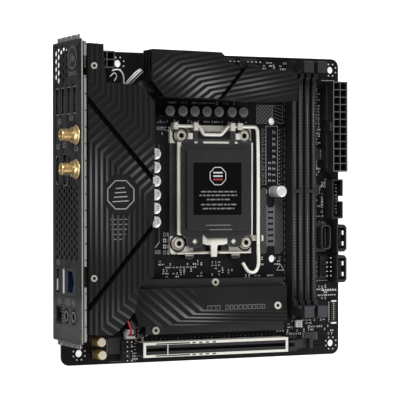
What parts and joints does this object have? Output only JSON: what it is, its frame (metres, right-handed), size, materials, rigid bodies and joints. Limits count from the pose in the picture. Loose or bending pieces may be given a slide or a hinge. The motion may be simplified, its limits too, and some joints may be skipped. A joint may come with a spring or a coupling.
{
  "type": "desktop computer motherboard",
  "caption": "Small square desktop motherboard with finned heatsinks, covered processor socket, memory slots, expansion slot and rear port panel.",
  "frame": {"origin": "centre of the square of CPU cooler holes, on the board's component-side face", "axes": "+X from the rear port panel towards the front edge, +Y from the expansion slot edge towards the top edge, +Z out of the component side"},
  "size_m": [0.1833, 0.1758, 0.0444],
  "materials": {
    "pcb": "matte black solder mask over glass-fibre laminate",
    "panel_paint": "satin dark grey paint",
    "bare_steel": "zinc-plated spring steel",
    "port_steel": "nickel-plated sheet",
    "blue_plastic": "moulded blue plastic",
    "black_plastic": "moulded black plastic",
    "gold_plate": "gold-plated brass, satin",
    "heatsink_paint": "satin charcoal over aluminium",
    "pipe_nickel": "black-coated copper",
    "thermal_pad": "soft grey-blue silicone",
    "choke": "pressed iron-powder, dark grey",
    "chip_resin": "black moulding resin",
    "cap_black": "black-coated aluminium can, grey top",
    "cap_silver": "bare aluminium can",
    "cap_gold": "gold-coloured sleeve",
    "pin_gold": "gold-flashed pins",
    "slot_steel": "pale satin steel",
    "contact_grey": "rows of plated contacts",
    "latch_slate": "slate grey moulded plastic",
    "ilm_steel": "warm nickel-plated steel",
    "dark_steel": "black-nickel steel",
    "insulator": "black film",
    "cover_plastic": "black moulded cap with a satin panel",
    "screw_steel": "nickel-plated steel",
    "white_plastic": "white nylon",
    "wire_red": "red insulation"
  },
  "bodies": {
    "board": {"pcb": "pcb", "io_shield": "panel_paint", "shield_tabs": "bare_steel", "usb_quad_stack": "port_steel", "lan_usb_stack": "port_steel", "lan_insert": "blue_plastic", "port_tongues": "black_plastic", "display_ports": "port_steel", "audio_stack": "black_plastic", "antenna_jacks": "gold_plate", "antenna_nuts": "gold_plate", "wifi_module": "port_steel", "io_heatsink": "heatsink_paint", "vrm_heatsink": "heatsink_paint", "heatpipe": "pipe_nickel", "thermal_pads": "thermal_pad", "vrm_chokes": "choke", "vrm_mosfets": "chip_resin", "caps_black": "cap_black", "caps_silver": "cap_silver", "audio_caps": "cap_gold", "eps_connector": "black_plastic", "atx_connector": "black_plastic", "power_pins": "pin_gold", "pcie_slot": "black_plastic", "pcie_shield": "slot_steel", "dimm_slots": "black_plastic", "dimm_contacts": "contact_grey", "socket_body": "black_plastic", "socket_contacts": "pin_gold", "ilm_frame": "ilm_steel", "ilm_screws": "ilm_steel", "backplate": "dark_steel", "backplate_insulator": "insulator", "m2_connector": "black_plastic", "m2_standoff": "gold_plate", "m2_base": "heatsink_paint", "heatsink_screws": "screw_steel", "usb3_header": "black_plastic", "usb_c_header": "port_steel", "sata_ports": "black_plastic", "pin_header_bases": "black_plastic", "header_pins": "pin_gold", "fan_headers": "black_plastic", "battery_plug": "white_plastic", "battery_wires": "wire_red", "chips": "chip_resin"},
    "load_lever": {"load_lever": "ilm_steel"},
    "load_plate": {"load_plate": "ilm_steel"},
    "socket_cover": {"socket_cover": "cover_plastic"},
    "pcie_latch": {"pcie_latch": "black_plastic"},
    "dimm_latch_a_top": {"dimm_latch_a_top": "latch_slate"},
    "dimm_latch_a_bottom": {"dimm_latch_a_bottom": "latch_slate"},
    "dimm_latch_b_top": {"dimm_latch_b_top": "latch_slate"},
    "dimm_latch_b_bottom": {"dimm_latch_b_bottom": "latch_slate"},
    "m2_cover": {"m2_cover": "heatsink_paint", "m2_pad": "thermal_pad", "cover_screw": "screw_steel"}
  },
  "joints": [
    {"name": "lever_lift", "type": "hinge", "parent": "board", "child": "load_lever", "pos_m": [0, 0.0354, 0.0055], "axis": [-1, 0, 0], "range_deg": [0, 115]},
    {"name": "plate_open", "type": "hinge", "parent": "board", "child": "load_plate", "pos_m": [0, 0.0305, 0.0044], "axis": [-1, 0, 0], "range_deg": [0, 92]},
    {"name": "cover_lift", "type": "slide", "parent": "load_plate", "child": "socket_cover", "axis": [0, 0, 1], "range_m": [0, 0.012]},
    {"name": "expansion_latch_swing", "type": "hinge", "parent": "board", "child": "pcie_latch", "pos_m": [0.0498, -0.08722, 0.0032], "axis": [0, 1, 0], "range_deg": [0, 16]},
    {"name": "memory_latch_near_top", "type": "hinge", "parent": "board", "child": "dimm_latch_a_top", "pos_m": [0.0512, 0.07033, 0.0046], "axis": [-1, 0, 0], "range_deg": [0, 28]},
    {"name": "memory_latch_near_bottom", "type": "hinge", "parent": "board", "child": "dimm_latch_a_bottom", "pos_m": [0.0512, -0.06967, 0.0046], "axis": [1, 0, 0], "range_deg": [0, 28]},
    {"name": "memory_latch_far_top", "type": "hinge", "parent": "board", "child": "dimm_latch_b_top", "pos_m": [0.0597, 0.07033, 0.0046], "axis": [-1, 0, 0], "range_deg": [0, 28]},
    {"name": "memory_latch_far_bottom", "type": "hinge", "parent": "board", "child": "dimm_latch_b_bottom", "pos_m": [0.0597, -0.06967, 0.0046], "axis": [1, 0, 0], "range_deg": [0, 28]},
    {"name": "drive_cover_lift", "type": "slide", "parent": "board", "child": "m2_cover", "axis": [0, 0, 1], "range_m": [0, 0.04]}
  ],
  "couplings": [
    {"joint": "plate_open", "follows": "lever_lift", "ratio": 0.8}
  ]
}
